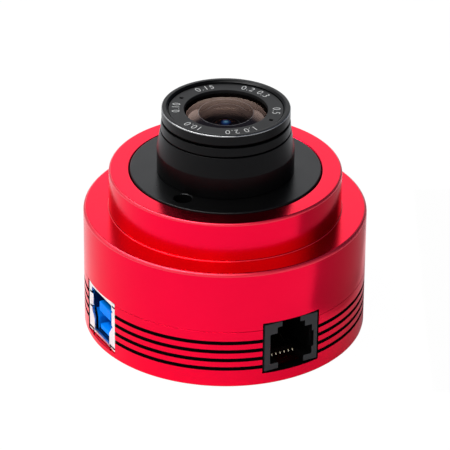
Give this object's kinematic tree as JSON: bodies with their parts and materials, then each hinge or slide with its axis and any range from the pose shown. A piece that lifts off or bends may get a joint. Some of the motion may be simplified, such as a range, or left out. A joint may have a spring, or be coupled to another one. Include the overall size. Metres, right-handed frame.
{
  "type": "astronomy camera",
  "caption": "Round red anodised astronomy camera with a wide-angle manual-focus lens, a USB type B socket and a guide-port jack in its side, standing on its back face.",
  "frame": {"origin": "centre of the flat back face", "axes": "+Z is the optical axis, towards the lens; the USB socket faces -X and the guide-port jack faces -Y"},
  "size_m": [0.062, 0.062, 0.0517],
  "materials": {
    "red_anodised": "satin red anodised",
    "black_anodised": "satin black anodised",
    "screw_steel": "turned stainless steel",
    "connector_shell": "nickel plated sheet",
    "connector_blue": "moulded blue plastic",
    "connector_black": "moulded black plastic",
    "contact_gold": "gold plated",
    "circuit_board": "green solder mask",
    "chip_package": "moulded epoxy",
    "crystal_case": "drawn metal can",
    "sensor_ceramic": "matt fired ceramic",
    "sensor_silicon": "polished with fine lines",
    "clear_glass": "coated optical glass",
    "seal_rubber": "matt"
  },
  "bodies": {
    "camera_body": {"rear_housing": "red_anodised", "front_housing": "red_anodised", "case_screw_1": "screw_steel", "case_screw_2": "screw_steel", "case_screw_3": "screw_steel", "case_screw_4": "screw_steel", "board_spacer_1": "screw_steel", "board_spacer_2": "screw_steel", "board_spacer_3": "screw_steel", "board_spacer_4": "screw_steel", "main_board": "circuit_board", "sensor_board": "circuit_board", "logic_chip": "chip_package", "usb_controller_chip": "chip_package", "memory_chip": "chip_package", "power_inductor": "chip_package", "board_plug": "chip_package", "board_socket": "chip_package", "crystal_can": "crystal_case", "usb_shell": "connector_shell", "usb_insulator": "connector_blue", "usb_contact_1": "contact_gold", "usb_contact_2": "contact_gold", "usb_contact_3": "contact_gold", "usb_contact_4": "contact_gold", "usb_contact_5": "contact_gold", "usb_contact_6": "contact_gold", "usb_contact_7": "contact_gold", "usb_contact_8": "contact_gold", "usb_contact_9": "contact_gold", "guide_jack_housing": "connector_black", "guide_jack_contact_1": "contact_gold", "guide_jack_contact_2": "contact_gold", "guide_jack_contact_3": "contact_gold", "guide_jack_contact_4": "contact_gold", "guide_jack_contact_5": "contact_gold", "guide_jack_contact_6": "contact_gold", "sensor_package": "sensor_ceramic", "sensor_die": "sensor_silicon", "sensor_cover_glass": "clear_glass", "window_seal": "seal_rubber", "window_glass": "clear_glass", "window_retainer": "black_anodised"},
    "collar": {"two_inch_collar": "red_anodised"},
    "adapter": {"lens_adapter": "black_anodised"},
    "lens_mount": {"lens_base": "black_anodised"},
    "lock": {"focus_lock_ring": "black_anodised"},
    "cell": {"lens_cell": "black_anodised", "front_element": "clear_glass", "second_element": "clear_glass", "third_element": "clear_glass", "fourth_element": "clear_glass", "rear_element": "clear_glass", "front_spacer": "black_anodised", "aperture_stop": "black_anodised", "rear_retainer": "black_anodised"},
    "focus": {"focus_ring": "black_anodised", "name_ring": "black_anodised"}
  },
  "joints": [
    {"name": "collar_unscrew", "type": "slide", "parent": "camera_body", "child": "collar", "axis": [0, 0, 1], "range_m": [0, 0.012]},
    {"name": "adapter_unscrew", "type": "slide", "parent": "collar", "child": "adapter", "axis": [0, 0, 1], "range_m": [0, 0.01]},
    {"name": "lens_unscrew", "type": "slide", "parent": "adapter", "child": "lens_mount", "axis": [0, 0, 1], "range_m": [0, 0.01]},
    {"name": "lock_turn", "type": "hinge", "parent": "lens_mount", "child": "lock", "pos_m": [0, 0, 0.048], "axis": [0, 0, 1], "range_deg": [0, 90]},
    {"name": "focus_travel", "type": "slide", "parent": "lens_mount", "child": "cell", "axis": [0, 0, 1], "range_m": [-0.00013, 0.00088]},
    {"name": "focus_turn", "type": "hinge", "parent": "cell", "child": "focus", "pos_m": [0, 0, 0.0504], "axis": [0, 0, 1], "range_deg": [-90, 630]}
  ],
  "couplings": [
    {"joint": "focus_travel", "follows": "focus_turn", "m_per_rad": 0.000079577}
  ]
}
